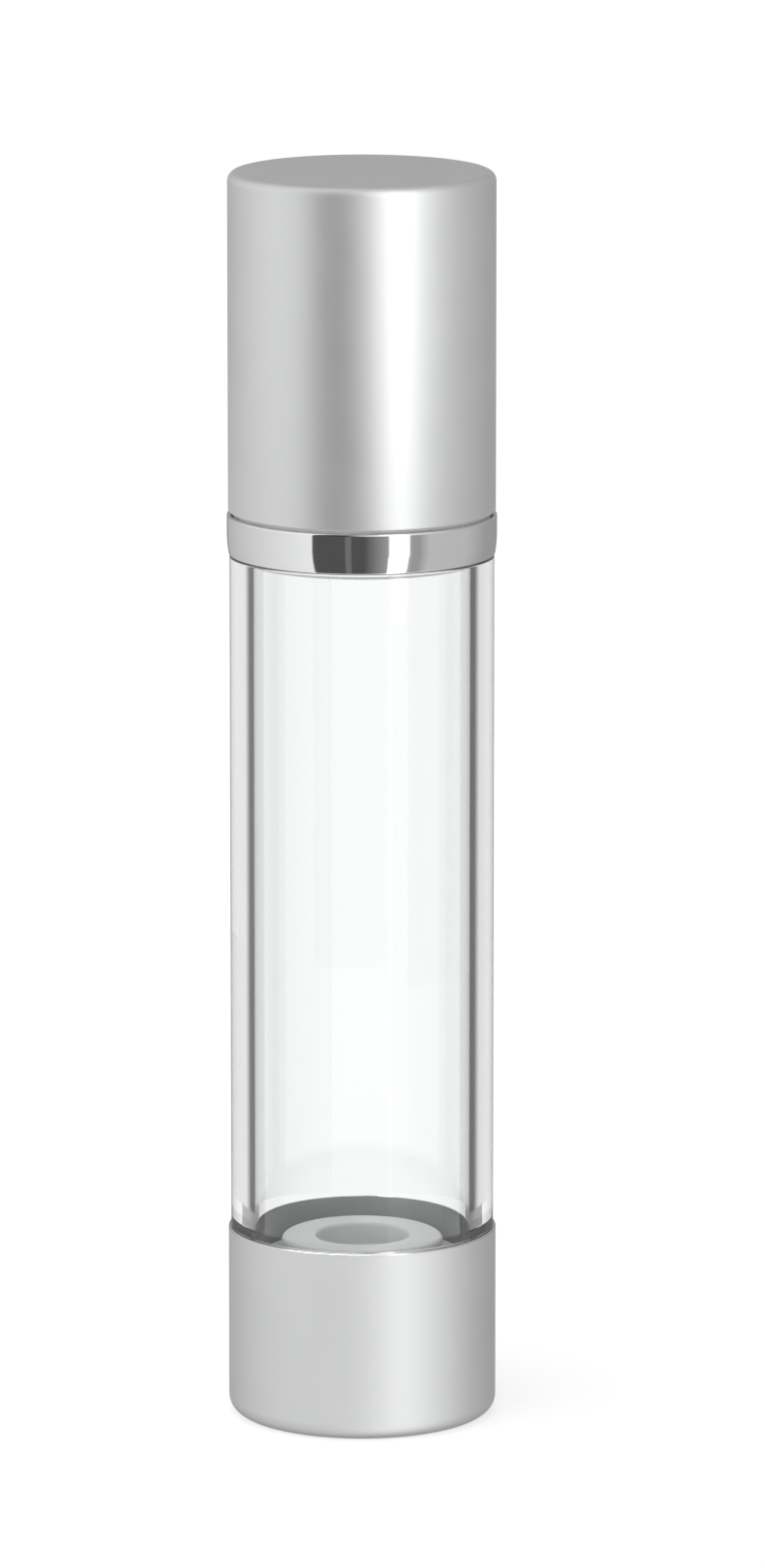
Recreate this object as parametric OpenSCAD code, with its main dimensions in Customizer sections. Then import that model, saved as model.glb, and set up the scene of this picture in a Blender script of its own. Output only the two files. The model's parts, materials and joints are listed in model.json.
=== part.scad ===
// Airless pump bottle with a clear thick-walled body and a metal cap, collar and base.
// The axis is Z, the origin is the middle of the base's underside, and the nozzle looks along -Y.
// All sizes are in millimetres.

/* [Base] */
// Outside diameter of the base and of the collar
bottle_d = 33.5; // [32:0.1:38]
// Height of the metal base
base_h = 24; // [20:0.5:30]
// Wall of the drawn metal base
base_wall = 0.45; // [0.35:0.05:0.6]
// Rounding where the base's side meets its underside
base_fillet = 2.2; // [1.2:0.1:2.6]
// Diameter of the air hole under the base
vent_d = 2; // [1:0.5:3]
// Height of the ring that the follower piston rests on, from the underside
insert_h = 11.4; // [9:0.2:12.5]

/* [Bottle] */
// Height of the clear body between the base and the collar
clear_h = 85.3; // [48:0.1:110]
// How far the clear body's side lies inside the base's side
body_inset = 0.325; // [0.25:0.025:0.45]
// Wall of the clear body
body_wall = 2.925; // [2.7:0.025:3.6]
// Wall of the neck that the pump seats in
neck_wall = 1.1; // [0.9:0.05:1.3]
// Height of the neck above the shoulder
neck_h = 3.3; // [2.8:0.1:4]

/* [Follower piston] */
// Height of the follower piston
follower_h = 11.5; // [8:0.1:12]
// Diameter of its raised middle
crown_d = 20.2; // [16:0.1:22]
// Height of the raised middle above the wiping lip
crown_rise = 2.75; // [1.5:0.05:4]
// Diameter of the dished centre
dish_d = 11.6; // [8:0.1:13]
// Depth of the dished centre
dish_depth = 3; // [1.5:0.1:4]
// Wall of the follower piston
follower_wall = 1.1; // [0.8:0.05:1.4]

/* [Collar] */
// Height of the polished collar
collar_h = 5.1; // [4.6:0.1:6.5]
// Wall of the polished collar
collar_wall = 0.5; // [0.4:0.05:0.6]
// Radius of the bow on the collar's lower side
collar_bow = 16; // [10:0.5:16.5]
// Rounding of the collar's lower edge
collar_fillet = 0.4; // [0.2:0.05:0.5]

/* [Cap] */
// Length of the cap with the skirt that seats in the collar
cap_len = 45; // [43:0.5:52]
// How deep that skirt seats in the collar
cap_seat = 2.4; // [1.6:0.1:2.8]
// How far the cap's side lies inside the collar's side
cap_inset = 0.15; // [0.1:0.05:0.3]
// Wall of the cap's metal sleeve
cap_wall = 0.5; // [0.4:0.05:0.6]
// Rounding of the cap's top edge
cap_fillet = 1.2; // [0.6:0.1:2]
// Wall of the plastic liner in the cap
liner_wall = 1.1; // [0.9:0.05:1.3]
// Dark line between the cap's edge and the collar
cap_line = 0.4; // [0.2:0.05:0.8]

/* [Pump head] */
// Height of the nozzle's axis below the head's top edge
nozzle_drop = 6; // [4.5:0.25:8]
// Diameter of the nozzle insert
nozzle_d = 4.4; // [3.6:0.1:5]
// Diameter of the hole that the product leaves by
orifice_d = 0.9; // [0.6:0.1:1.4]
// Wall of the head's metal sleeve
sheath_wall = 0.45; // [0.35:0.05:0.6]
// Depth of the finger dish in the head's top
finger_dish = 0.8; // [0.4:0.1:1.2]
// Wall of the head's plastic core
button_wall = 1; // [0.8:0.05:1.3]

/* [Pump] */
// Travel of the head
stroke = 4.5; // [3:0.25:5.5]
// Share of that travel that the pump piston makes, the rest opens its outlet
follow_share = 0.85; // [0.75:0.01:0.9]
// Diameter of the pump chamber
chamber_d = 9; // [8.6:0.1:10]
// Wall of the pump chamber
chamber_wall = 1.1; // [0.9:0.05:1.4]
// Diameter of the hollow stem
stem_d = 5; // [4.4:0.1:5.2]
// Diameter of the stem's channel
stem_bore_d = 2.6; // [2.2:0.1:2.8]
// Height of the pump piston
piston_h = 4.05; // [3.4:0.05:5]
// Diameter of the valve ball
ball_d = 4; // [3.4:0.1:4.4]
// Diameter of the inlet hole under the ball
inlet_d = 3.2; // [2.4:0.1:3.3]
// Lift of the valve ball
ball_lift = 0.8; // [0.5:0.1:1.2]
// How much of the white pump plug shows below the collar
plug_show = 1; // [0.6:0.1:2]

/* [Return spring] */
// Diameter of the spring's wire
wire_d = 0.7; // [0.5:0.05:0.8]
// Number of turns
spring_turns = 6; // [4:1:7]
// Diameter through the middle of the wire
spring_d = 8.8; // [8.4:0.1:9.4]

/* [Clearances] */
// Radial play of a piston, a stem or a shaft in its hole
running_play = 0.05; // [0.03:0.01:0.08]
// Gap where one piece rests on another
seat_gap = 0.03; // [0.02:0.01:0.05]
// Glue gap between a metal sleeve and the plastic inside it
glue_gap = 0.05; // [0.03:0.01:0.08]
// Radial gap between pieces that pass each other freely
slide_gap = 0.3; // [0.2:0.05:0.35]

/* [Hidden] */
$fn = 96;
// How far a cutting shape runs past the face that it cuts
past = 0.2;

// Radii of the bottle, from the outside in
bottle_r = bottle_d / 2;
base_bore_r = bottle_r - base_wall;
body_r = bottle_r - body_inset;
foot_r = base_bore_r - 2 * glue_gap;
bore_r = body_r - body_wall;
neck_r = bore_r + neck_wall;
neck_waist = 0.35;
lip_r = bore_r - running_play;

// Heights of the bottle
base_floor = base_wall;
insert_flange_z = base_floor + glue_gap;
insert_flange_t = 1.95;
insert_wall = 1.2;
foot_z = insert_flange_z + insert_flange_t + seat_gap;
body_step_z = base_h + seat_gap;
body_step_round = 0.8 * (body_r - foot_r);
shoulder_z = base_h + clear_h;
neck_top_z = shoulder_z + neck_h;
edge_break = 0.25;

// Follower piston
follower_z = insert_h + seat_gap;
crown_z = follower_z + follower_h;
crown_r = crown_d / 2;
dish_r = dish_d / 2;
lip_top_z = crown_z - crown_rise;
lip_h = 0.9;
lip_relief = 0.55;
moat_floor_z = lip_top_z - 1.6;

// Collar, and the core that snaps over the neck
collar_z = shoulder_z + 2 * seat_gap;
collar_top_z = shoulder_z + collar_h;
collar_bore_r = bottle_r - collar_wall;
core_r = collar_bore_r - glue_gap;
core_z = collar_z + 0.15;
core_wall = 0.5;
snap_gap = 0.08;
core_ring_r = neck_r + snap_gap + core_wall;
groove_z = collar_top_z - cap_seat - 0.1;
hook_h = 1;
hook_gap = 0.05;
bow_z = collar_z + 0.55 * collar_h;
bow_centre = [bottle_r - collar_bow, bow_z];
bow_drop = bow_z - collar_z - collar_fillet;
corner_centre = [bow_centre.x + sqrt(pow(collar_bow - collar_fillet, 2) - pow(bow_drop, 2)), collar_z + collar_fillet];

// Neck seal and the pump plug's flange
gasket_t = 0.4;
gasket_z = neck_top_z + seat_gap;
flange_z = gasket_z + gasket_t + seat_gap;
flange_t = 0.75;
flange_r = neck_r - 0.1;
web_z = flange_z + flange_t + seat_gap;
web_t = 1.15;
web_top_z = web_z + web_t;
web_bore_r = bore_r - 2.5;

// Cap, from the outside in
cap_r = bottle_r - cap_inset;
cap_bore_r = cap_r - cap_wall;
liner_r = cap_bore_r - glue_gap;
liner_bore_r = liner_r - liner_wall;
cap_foot_z = collar_top_z - cap_seat;
cap_top_z = cap_foot_z + cap_len;
cap_edge_z = collar_top_z + cap_line;
skirt_r = collar_bore_r - slide_gap;
skirt_bore_r = core_ring_r + 0.15;
cap_rest_z = web_top_z + seat_gap;

// Spigot of the collar core, which the cap grips and the head moves in
spigot_r = liner_bore_r - slide_gap - 0.05;
spigot_wall = 1.05;
spigot_bore_r = spigot_r - spigot_wall;
click_h = 0.8;
click_proud = 0.13;
liner_click_z = cap_rest_z + 0.35;
spigot_click_z = liner_click_z + click_h + 0.35;

// Pump plug and the ball valve in its middle
plug_z = collar_z - plug_show;
plug_r = bore_r - 2 * running_play;
plug_wall = 1.1;
plug_floor_t = 1.1;
plug_floor_z = plug_z + plug_floor_t;
ball_r = ball_d / 2;
inlet_r = inlet_d / 2;
ball_z = plug_floor_z + sqrt(ball_r * ball_r - inlet_r * inlet_r) + seat_gap;
ball_stop_z = ball_z + ball_r + ball_lift + 0.07;
ball_stop_t = 0.8;
cage_r = ball_r + slide_gap;

// Pump chamber
chamber_r = chamber_d / 2;
housing_r = chamber_r + chamber_wall;
boss_r = housing_r + seat_gap + 1.2;
boss_h = 3;
chamber_z = ball_stop_z + ball_stop_t;
bottom_gap = 0.4;
stop_hole_r = 0.8;
slot_w = 1;

// Stem, plunger and pump piston, at rest
lost_motion = stroke * (1 - follow_share);
plunger_z = chamber_z + bottom_gap + stroke;
plunger_t = 1.1;
plunger_r = chamber_r - 1.5;
stem_r = stem_d / 2;
stem_bore_r = stem_bore_d / 2;
rod_r = stem_bore_r - running_play;
piston_z = plunger_z + plunger_t + running_play;
piston_top_z = piston_z + piston_h;
piston_r = chamber_r - running_play;
piston_port_r = rod_r + 0.45;
piston_ledge_z = piston_z + piston_h * 0.6;
piston_hub_r = stem_r + running_play + 0.75;
piston_lip_h = 0.85;
stem_z = piston_ledge_z + lost_motion + running_play;
stem_collar_z = piston_top_z + lost_motion + 2 * running_play;
stem_collar_t = 0.85;
stem_collar_r = chamber_r - 0.8;

// Retainer over the chamber, and the spring on it
retainer_z = stem_collar_z + stem_collar_t + running_play;
housing_top_z = retainer_z - seat_gap;
retainer_t = 1.3;
spring_seat_z = retainer_z + retainer_t;
retainer_skirt_h = 2.6;
retainer_wall = 0.9;
guide_wall = 0.8;
guide_h = 1.6;
spring_len = spring_turns * wire_d + stroke + 1.2;
spring_r = spring_d / 2;
wire_r = wire_d / 2;
head_seat_z = spring_seat_z + 2 * seat_gap + spring_len;

// Pump head
nozzle_z = head_seat_z + 2.7;
head_top_z = nozzle_z + nozzle_drop;
head_z = web_top_z + stroke + 0.5;
head_r = spigot_bore_r - slide_gap;
spigot_top_z = head_z + 1.5;
sheath_bore_r = head_r - sheath_wall;
button_r = sheath_bore_r - glue_gap;
button_bore_r = button_r - button_wall;
button_z = head_z + 0.3;
button_top_t = 1.8;
head_fillet = 1;
dish_edge_r = head_r - 1.6;
dish_ball_r = (dish_edge_r * dish_edge_r + finger_dish * finger_dish) / (2 * finger_dish);
dish_ball_z = head_top_z - finger_dish + dish_ball_r;
button_ceiling_z = head_top_z - finger_dish - sheath_wall - glue_gap - button_top_t;
hub_r = spring_r + wire_r + 0.4;
socket_r = stem_r + running_play + 0.9;
socket_h = spring_len - stroke - guide_h - 0.5;
stem_top_z = head_seat_z + 1.1;
channel_r = 1.1;
nozzle_r = nozzle_d / 2;
nozzle_len = 4.4;
nozzle_proud = 0.35;
nozzle_back = head_r + nozzle_proud - nozzle_len;
rib_t = 1;

// Colours as seen
satin_metal = [0.76, 0.77, 0.78];
polished_metal = [0.86, 0.87, 0.88];
clear_plastic = [0.86, 0.92, 0.95, 0.35];
milky_plastic = [0.93, 0.94, 0.94];
white_plastic = [0.96, 0.96, 0.95];
seal_grey = [0.6, 0.62, 0.64];
steel = [0.62, 0.63, 0.65];

// Flat outline of one ring, in a radius and height plane
module band(r_in, r_out, z_lo, z_hi) {
    translate([r_in, z_lo]) square([r_out - r_in, z_hi - z_lo]);
}

// What a round of radius f takes off an outline's corner, which points out or in, and up or down
module corner_round(r, z, f, out = true, up = true) {
    translate([out ? r - f : r + f, up ? z - f : z + f])
        mirror([out ? 0 : 1, 0])
            mirror([0, up ? 0 : 1])
                difference() {
                    square([f + past, f + past]);
                    circle(r = f);
                }
}

// One ring of points round the wire of a coil, t degrees along it
function coil_ring(t, radius, z, rise, wire, sides) =
    let (slope = atan(rise / (2 * PI * radius)))
    [for (k = [0 : sides - 1])
        let (out = wire * cos(360 * k / sides), up = wire * sin(360 * k / sides))
        [
            (radius + out) * cos(t) + up * sin(slope) * sin(t),
            (radius + out) * sin(t) - up * sin(slope) * cos(t),
            z + rise * t / 360 + up * cos(slope)
        ]
    ];

// Middle of the wire, t degrees along the coil
function coil_middle(t, radius, z, rise) = [radius * cos(t), radius * sin(t), z + rise * t / 360];

// Coiled wire of radius wire, one unbroken tube from z up to z + height
module coil(radius, z, height, wire, turns, sides = 6, steps = 8) {
    rise = (height - 2 * wire) / turns;
    rings = turns * steps;
    points = [for (i = [0 : rings]) each coil_ring(360 * i / steps, radius, z + wire, rise, wire, sides)];
    walls = [for (i = [0 : rings - 1], k = [0 : sides - 1])
        let (a = i * sides + k, b = i * sides + (k + 1) % sides)
        each [[a, b, b + sides], [a, b + sides, a + sides]]];
    last = rings * sides;
    first_end = [for (k = [1 : sides - 2]) [0, k + 1, k]];
    last_end = [for (k = [1 : sides - 2]) [last, last + k, last + k + 1]];
    middles = [for (i = [0 : rings]) coil_middle(360 * i / steps, radius, z + wire, rise)];
    gaps = [for (i = [0 : rings - steps / 2], j = [i + steps / 2 : rings]) norm(middles[j] - middles[i]) - 2 * wire];
    echo(least_gap_of_the_coil_to_itself = min(gaps));
    polyhedron(points = points, faces = concat(walls, first_end, last_end), convexity = 10);
}

// Area inside the collar's side at the given inset, straight above bow_z and bowed in below it
module bow_outline(inset, z_lo, z_hi) {
    band(0, bottle_r - inset, bow_z, z_hi);
    intersection() {
        band(0, bottle_r - inset, z_lo, bow_z + inset / 2);
        translate(bow_centre) circle(r = collar_bow - inset, $fn = 360);
    }
}

// What the round between the bowed side and the collar's underside takes off
module bow_corner() {
    outward = (corner_centre - bow_centre) / norm(corner_centre - bow_centre);
    reach = 2 * collar_fillet;
    difference() {
        polygon([
            corner_centre,
            corner_centre + reach * outward,
            [corner_centre.x + reach, collar_z - past],
            [corner_centre.x, collar_z - past]
        ]);
        translate(corner_centre) circle(r = collar_fillet);
    }
}

module base_shell() {
    color(satin_metal) difference() {
        rotate_extrude() difference() {
            band(0, bottle_r, 0, base_h);
            difference() {
                band(-past, base_bore_r, base_floor, base_h + past);
                corner_round(base_bore_r, base_floor, base_fillet - base_wall, true, false);
            }
            corner_round(bottle_r, 0, base_fillet, true, false);
            corner_round(bottle_r, base_h, base_wall / 2, true, true);
        }
        translate([0, 0, -past]) cylinder(d = vent_d, h = base_floor + 2 * past);
    }
}

// Plug under the bottle, with an air hole and a ring that the follower piston rests on
module base_insert() {
    ring_r = bore_r - 2 * running_play;
    color(white_plastic) difference() {
        rotate_extrude() difference() {
            union() {
                band(0, foot_r, insert_flange_z, insert_flange_z + insert_flange_t);
                band(ring_r - insert_wall, ring_r, insert_flange_z, insert_h);
            }
            band(-past, ring_r - 2 * insert_wall, insert_flange_z + insert_wall, insert_h);
            corner_round(foot_r, insert_flange_z, base_fillet - base_wall, true, false);
            corner_round(ring_r, insert_h, 0.5, true, true);
        }
        translate([0, 0, insert_flange_z - past]) cylinder(d = vent_d, h = insert_h);
    }
}

// Clear cylinder, open at both ends, with a foot inside the base and a beaded neck inside the collar
module bottle_body() {
    color(clear_plastic) rotate_extrude() difference() {
        union() {
            band(bore_r, foot_r, foot_z, body_step_z + past);
            band(bore_r, body_r, body_step_z, shoulder_z);
            band(bore_r, neck_r, shoulder_z - past, neck_top_z);
        }
        band(neck_r - neck_waist, neck_r + past, shoulder_z, core_z + hook_h + hook_gap);
        corner_round(neck_r, neck_top_z, edge_break, true, true);
        corner_round(bore_r, neck_top_z, edge_break, false, true);
        corner_round(bore_r, foot_z, edge_break, false, false);
        corner_round(body_r, shoulder_z, edge_break, true, true);
        corner_round(body_r, body_step_z, body_step_round, true, false);
    }
}

// Cup-shaped piston with a raised, dished crown and a wiping lip at each end of its sleeve
module follower_piston() {
    sleeve_r = lip_r - lip_relief;
    sleeve_bore_r = sleeve_r - follower_wall;
    color(milky_plastic) rotate_extrude() difference() {
        union() {
            band(0, crown_r, crown_z - dish_depth - follower_wall, crown_z);
            band(crown_r - follower_wall, crown_r, moat_floor_z - follower_wall, crown_z);
            band(crown_r - follower_wall, sleeve_r, moat_floor_z - follower_wall, moat_floor_z);
            band(sleeve_bore_r, sleeve_r, follower_z, lip_top_z - lip_h);
            polygon([
                [sleeve_bore_r + follower_wall / 2, lip_top_z - 2 * lip_h],
                [sleeve_r, lip_top_z - 2 * lip_h],
                [lip_r, lip_top_z - lip_h / 2],
                [lip_r, lip_top_z],
                [lip_r - 0.3, lip_top_z]
            ]);
            polygon([
                [sleeve_bore_r, follower_z + 2 * lip_h],
                [sleeve_bore_r, follower_z],
                [lip_r, follower_z],
                [lip_r, follower_z + lip_h / 2],
                [sleeve_r, follower_z + 2 * lip_h]
            ]);
        }
        band(-past, dish_r, crown_z - dish_depth, crown_z + past);
        band(dish_r + follower_wall, crown_r - follower_wall,
             crown_z - dish_depth - follower_wall - past, crown_z - follower_wall);
        corner_round(crown_r, crown_z, 0.5, true, true);
        corner_round(dish_r, crown_z, 0.4, false, true);
    }
}

module neck_gasket() {
    color(seal_grey) rotate_extrude()
        band(bore_r + edge_break, flange_r, gasket_z, gasket_z + gasket_t);
}

// Plug that closes the bore, with the inlet hole in its floor and a boss that holds the pump chamber
module pump_plug() {
    color(white_plastic) rotate_extrude() difference() {
        union() {
            band(0, plug_r, plug_z, plug_floor_z);
            band(plug_r - plug_wall, plug_r, plug_z, flange_z + flange_t);
            band(plug_r - plug_wall, flange_r, flange_z, flange_z + flange_t);
            band(housing_r + seat_gap, boss_r, plug_floor_z - past, plug_floor_z + boss_h);
        }
        band(-past, inlet_r, plug_z - past, plug_floor_z + past);
        corner_round(plug_r, plug_z, 0.4, true, false);
        corner_round(boss_r, plug_floor_z + boss_h, 0.3, true, true);
    }
}

// Pump chamber above a cage for the ball, with three slots that let the product past the lifted ball
module pump_housing() {
    cage_wall_r = cage_r + chamber_wall;
    color(milky_plastic) difference() {
        rotate_extrude() difference() {
            band(stop_hole_r, housing_r, plug_floor_z + seat_gap, housing_top_z);
            band(0, cage_r, plug_floor_z, ball_stop_z);
            band(cage_wall_r, chamber_r, plug_floor_z, chamber_z - chamber_wall);
            band(0, chamber_r, chamber_z, retainer_z);
            corner_round(housing_r, housing_top_z, 0.3, true, true);
        }
        for (a = [0 : 120 : 240])
            rotate([0, 0, a])
                translate([0, -slot_w / 2, ball_stop_z - past])
                    cube([cage_r, slot_w, ball_stop_t + 2 * past]);
    }
}

module inlet_valve_ball() {
    color(steel) translate([0, 0, ball_z]) sphere(r = ball_r);
}

// Rod with a coned head that closes the pump piston's port from below
module stem_plunger() {
    rod_top_z = stem_z + 5;
    flute_r = 0.45;
    color(white_plastic) difference() {
        rotate_extrude() union() {
            band(0, rod_r, plunger_z, rod_top_z);
            polygon([
                [0, plunger_z],
                [plunger_r - 0.4, plunger_z],
                [plunger_r, plunger_z + 0.4],
                [piston_port_r + 0.15, plunger_z + plunger_t],
                [0, plunger_z + plunger_t]
            ]);
        }
        for (a = [0 : 120 : 240])
            rotate([0, 0, a])
                translate([rod_r, 0, piston_z + 0.3])
                    cylinder(r = flute_r, h = rod_top_z - piston_z);
    }
}

// Piston with a lip at each end that wipes the chamber, and a hub that slides on the stem
module pump_piston() {
    color(milky_plastic) rotate_extrude() difference() {
        band(piston_port_r, piston_r, piston_z, piston_top_z);
        band(piston_port_r - past, stem_r + running_play, piston_ledge_z, piston_top_z + past);
        band(piston_r - 0.25, piston_r + past, piston_z + piston_lip_h, piston_top_z - piston_lip_h);
        band(piston_hub_r, piston_r - 0.55, piston_z + piston_h / 2 + 0.4, piston_top_z + past);
        band(piston_hub_r, piston_r - 0.55, piston_z - past, piston_z + piston_h / 2 - 0.4);
    }
}

module pump_stem() {
    color(white_plastic) rotate_extrude() difference() {
        union() {
            band(stem_bore_r, stem_r, stem_z, stem_top_z);
            band(stem_bore_r, stem_collar_r, stem_collar_z, stem_collar_z + stem_collar_t);
        }
        corner_round(stem_r, stem_top_z, 0.3, true, true);
        corner_round(stem_r, stem_z, 0.2, true, false);
    }
}

// Snap cap on the chamber that guides the stem and carries the spring
module pump_retainer() {
    skirt_bore = housing_r + seat_gap;
    retainer_r = skirt_bore + retainer_wall;
    guide_r = stem_r + 2 * running_play;
    color(white_plastic) rotate_extrude() difference() {
        union() {
            band(guide_r, retainer_r, retainer_z, spring_seat_z);
            band(skirt_bore, retainer_r, retainer_z - retainer_skirt_h, spring_seat_z + 0.8);
            band(guide_r, guide_r + guide_wall, retainer_z, spring_seat_z + guide_h);
        }
        corner_round(retainer_r, spring_seat_z + 0.8, 0.3, true, true);
    }
}

module return_spring() {
    color(steel) coil(spring_r, spring_seat_z + seat_gap, spring_len, wire_r, spring_turns);
}

// Plastic closure that snaps over the neck, holds the pump down, and carries the collar and the cap
module collar_core() {
    hook_r = neck_r - neck_waist + snap_gap;
    click_r = spigot_r + click_proud;
    click_top_z = spigot_click_z + click_h;
    color(white_plastic) rotate_extrude() difference() {
        union() {
            intersection() {
                band(hook_r, core_r, core_z, groove_z);
                bow_outline(collar_wall + glue_gap, core_z, groove_z + past);
            }
            band(neck_r, core_ring_r, core_z, web_top_z);
            band(web_bore_r, core_ring_r, web_z, web_top_z);
            band(spigot_bore_r, spigot_r, web_z, spigot_top_z);
            band(spigot_r - past, click_r, spigot_click_z, click_top_z);
        }
        band(hook_r - past, neck_r + snap_gap, core_z + hook_h, web_z);
        corner_round(spigot_r, spigot_top_z, 0.4, true, true);
        corner_round(spigot_bore_r, spigot_top_z, 0.4, false, true);
        corner_round(click_r, click_top_z, click_proud, true, true);
        corner_round(click_r, spigot_click_z, click_proud, true, false);
    }
}

// Polished ring, straight above and bowed in below
module collar_shell() {
    color(polished_metal) rotate_extrude() difference() {
        bow_outline(0, collar_z, collar_top_z);
        bow_outline(collar_wall, collar_z - past, collar_top_z + past);
        corner_round(bottle_r, collar_top_z, collar_wall / 2, true, true);
        bow_corner();
    }
}

// Plastic core of the head, with the stem's socket, the channel to the nozzle and stiffening ribs
module actuator_button() {
    tube_r = nozzle_r + running_play + 0.9;
    tube_back = hub_r - past;
    socket_z = head_seat_z - socket_h;
    color(white_plastic) difference() {
        union() {
            rotate_extrude() {
                band(button_bore_r, button_r, button_z, button_ceiling_z + button_top_t);
                band(0, button_r - 0.1, button_ceiling_z, button_ceiling_z + button_top_t);
                band(0, hub_r, head_seat_z, button_ceiling_z + past);
                band(0, socket_r, socket_z, head_seat_z + past);
            }
            intersection() {
                translate([0, -tube_back, nozzle_z]) rotate([90, 0, 0]) cylinder(r = tube_r, h = button_r - tube_back);
                translate([0, 0, head_z]) cylinder(r = button_r - 0.1, h = head_top_z - head_z);
            }
            for (a = [0 : 90 : 180])
                rotate([0, 0, a])
                    translate([0, -rib_t / 2, head_seat_z + 0.6])
                        cube([button_r - 0.2, rib_t, button_ceiling_z - head_seat_z]);
        }
        translate([0, 0, socket_z - past])
            cylinder(r = stem_r + running_play, h = stem_top_z + running_play - socket_z + past);
        translate([0, 0, stem_top_z]) cylinder(r = stem_bore_r, h = nozzle_z - stem_top_z);
        translate([0, stem_bore_r, nozzle_z])
            rotate([90, 0, 0])
                cylinder(r = channel_r, h = nozzle_back + stem_bore_r + past);
        translate([0, -nozzle_back + seat_gap, nozzle_z])
            rotate([90, 0, 0])
                cylinder(r = nozzle_r + seat_gap, h = nozzle_len + past);
    }
}

// Metal sleeve of the head, dished for the finger, with a hole for the nozzle
module actuator_shell() {
    color(satin_metal) difference() {
        rotate_extrude() difference() {
            band(0, head_r, head_z, head_top_z);
            difference() {
                band(-past, sheath_bore_r, head_z - past, head_top_z - sheath_wall);
                translate([0, dish_ball_z]) circle(r = dish_ball_r + sheath_wall, $fn = 360);
                corner_round(sheath_bore_r, head_top_z - sheath_wall, head_fillet - sheath_wall, true, true);
            }
            translate([0, dish_ball_z]) circle(r = dish_ball_r, $fn = 360);
            corner_round(head_r, head_top_z, head_fillet, true, true);
        }
        translate([0, 0, nozzle_z]) rotate([90, 0, 0]) cylinder(r = nozzle_r + 0.1, h = head_r + past);
    }
}

// Round insert with the outlet hole and the swirl pocket behind it
module nozzle_insert() {
    front = nozzle_back + nozzle_len;
    color(white_plastic) translate([0, 0, nozzle_z]) rotate([90, 0, 0]) rotate_extrude() difference() {
        band(orifice_d / 2, nozzle_r, nozzle_back, front);
        band(0, nozzle_r - 0.9, nozzle_back - past, front - 1.2);
        corner_round(nozzle_r, front, 0.3, true, true);
    }
}

// Plastic liner of the cap, stepped to rest on the collar core, with a click ring for its spigot
module cap_liner() {
    liner_top_z = cap_top_z - cap_wall - glue_gap;
    color(white_plastic) rotate_extrude() difference() {
        union() {
            band(0, liner_r, cap_edge_z, liner_top_z);
            band(skirt_bore_r, skirt_r, cap_foot_z, cap_edge_z + past);
            band(liner_bore_r, skirt_r, cap_rest_z, max(cap_rest_z, cap_edge_z) + past);
        }
        difference() {
            band(-past, liner_bore_r, cap_foot_z - past, liner_top_z - liner_wall);
            corner_round(liner_bore_r, liner_top_z - liner_wall, 0.6, true, true);
            band(liner_bore_r - 0.12, liner_bore_r + past, liner_click_z, liner_click_z + click_h);
        }
        band(-past, skirt_bore_r, cap_foot_z - past, cap_rest_z);
        corner_round(liner_r, liner_top_z, cap_fillet - cap_wall, true, true);
        corner_round(skirt_r, cap_foot_z, 0.25, true, false);
    }
}

module cap_shell() {
    color(satin_metal) rotate_extrude() difference() {
        band(0, cap_r, cap_edge_z, cap_top_z);
        difference() {
            band(-past, cap_bore_r, cap_edge_z - past, cap_top_z - cap_wall);
            corner_round(cap_bore_r, cap_top_z - cap_wall, cap_fillet - cap_wall, true, true);
        }
        corner_round(cap_r, cap_top_z, cap_fillet, true, true);
        corner_round(cap_r, cap_edge_z, cap_wall / 3, true, false);
    }
}

base_shell();
base_insert();
bottle_body();
follower_piston();
neck_gasket();
pump_plug();
pump_housing();
inlet_valve_ball();
stem_plunger();
pump_piston();
pump_stem();
pump_retainer();
return_spring();
collar_core();
collar_shell();
actuator_button();
actuator_shell();
nozzle_insert();
cap_liner();
cap_shell();
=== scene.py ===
"""Looks of an airless pump bottle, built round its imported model.

The file is laid out as a Blender add-on and is run as a script. The outer shells, the clear body, the
follower piston and the return spring are modelled here at the model's own sizes. The other nodes keep
their meshes and get finishes.
"""
import json
import math

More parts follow.
